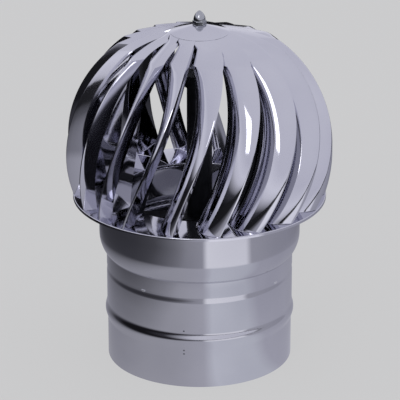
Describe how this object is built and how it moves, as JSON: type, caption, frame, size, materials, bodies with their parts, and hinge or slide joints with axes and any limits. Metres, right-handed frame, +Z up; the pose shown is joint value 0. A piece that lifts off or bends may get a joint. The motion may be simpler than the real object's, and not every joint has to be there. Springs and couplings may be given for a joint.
{
  "type": "roof turbine ventilator",
  "caption": "Round rotating ventilator: twisted folded blades in a ball-shaped rotor over a flared cup and a round pipe collar with a stop bead.",
  "frame": {"origin": "centre of the spigot's bottom edge, at the middle of the underside of the bounding box", "axes": "+Z up along the rotor's axis; -Y is the front"},
  "size_m": [0.2826, 0.2847, 0.3868],
  "materials": {
    "bright_sheet": "mirror-polished stainless sheet",
    "weld_metal": "bright tack weld",
    "plated_steel": "zinc-plated steel, dull",
    "stainless_bar": "turned and polished stainless",
    "spring_steel": "phosphated spring steel",
    "bearing_steel": "ground bearing steel",
    "cage_polymer": "natural nylon"
  },
  "bodies": {
    "base": {"bearing_tube": "plated_steel", "collar_cup": "bright_sheet", "lower_circlip": "spring_steel", "lower_outer_ring": "bearing_steel", "lower_pipe": "bright_sheet", "lower_shields": "bearing_steel", "lower_spider": "plated_steel", "upper_circlip": "spring_steel", "upper_outer_ring": "bearing_steel", "upper_shields": "bearing_steel", "upper_spider": "plated_steel", "weld_tacks": "weld_metal"},
    "rotor": {"acorn_nut": "stainless_bar", "blade_01": "bright_sheet", "blade_02": "bright_sheet", "blade_03": "bright_sheet", "blade_04": "bright_sheet", "blade_05": "bright_sheet", "blade_06": "bright_sheet", "blade_07": "bright_sheet", "blade_08": "bright_sheet", "blade_09": "bright_sheet", "blade_10": "bright_sheet", "blade_11": "bright_sheet", "blade_12": "bright_sheet", "blade_13": "bright_sheet", "blade_14": "bright_sheet", "blade_15": "bright_sheet", "blade_16": "bright_sheet", "blade_17": "bright_sheet", "blade_18": "bright_sheet", "foot_ring": "bright_sheet", "hub_nut": "stainless_bar", "hub_plate": "plated_steel", "hub_washer": "stainless_bar", "lock_nut": "stainless_bar", "lock_washer": "stainless_bar", "lower_inner_ring": "bearing_steel", "rain_slinger": "plated_steel", "shaft": "stainless_bar", "spacer_sleeve": "plated_steel", "top_cap": "bright_sheet", "upper_inner_ring": "bearing_steel"},
    "upper_ball_set": {"upper_balls": "bearing_steel", "upper_cage": "cage_polymer"},
    "lower_ball_set": {"lower_balls": "bearing_steel", "lower_cage": "cage_polymer"}
  },
  "joints": [
    {"name": "rotor_spin", "type": "hinge", "parent": "base", "child": "rotor", "pos_m": [0, 0, 0.19], "axis": [0, 0, 1], "continuous": true},
    {"name": "upper_ball_set_spin", "type": "hinge", "parent": "base", "child": "upper_ball_set", "pos_m": [0, 0, 0.3085], "axis": [0, 0, 1], "continuous": true},
    {"name": "lower_ball_set_spin", "type": "hinge", "parent": "base", "child": "lower_ball_set", "pos_m": [0, 0, 0.0696], "axis": [0, 0, 1], "continuous": true}
  ],
  "couplings": [
    {"joint": "upper_ball_set_spin", "follows": "rotor_spin", "ratio": 0.3706},
    {"joint": "lower_ball_set_spin", "follows": "rotor_spin", "ratio": 0.3706}
  ]
}
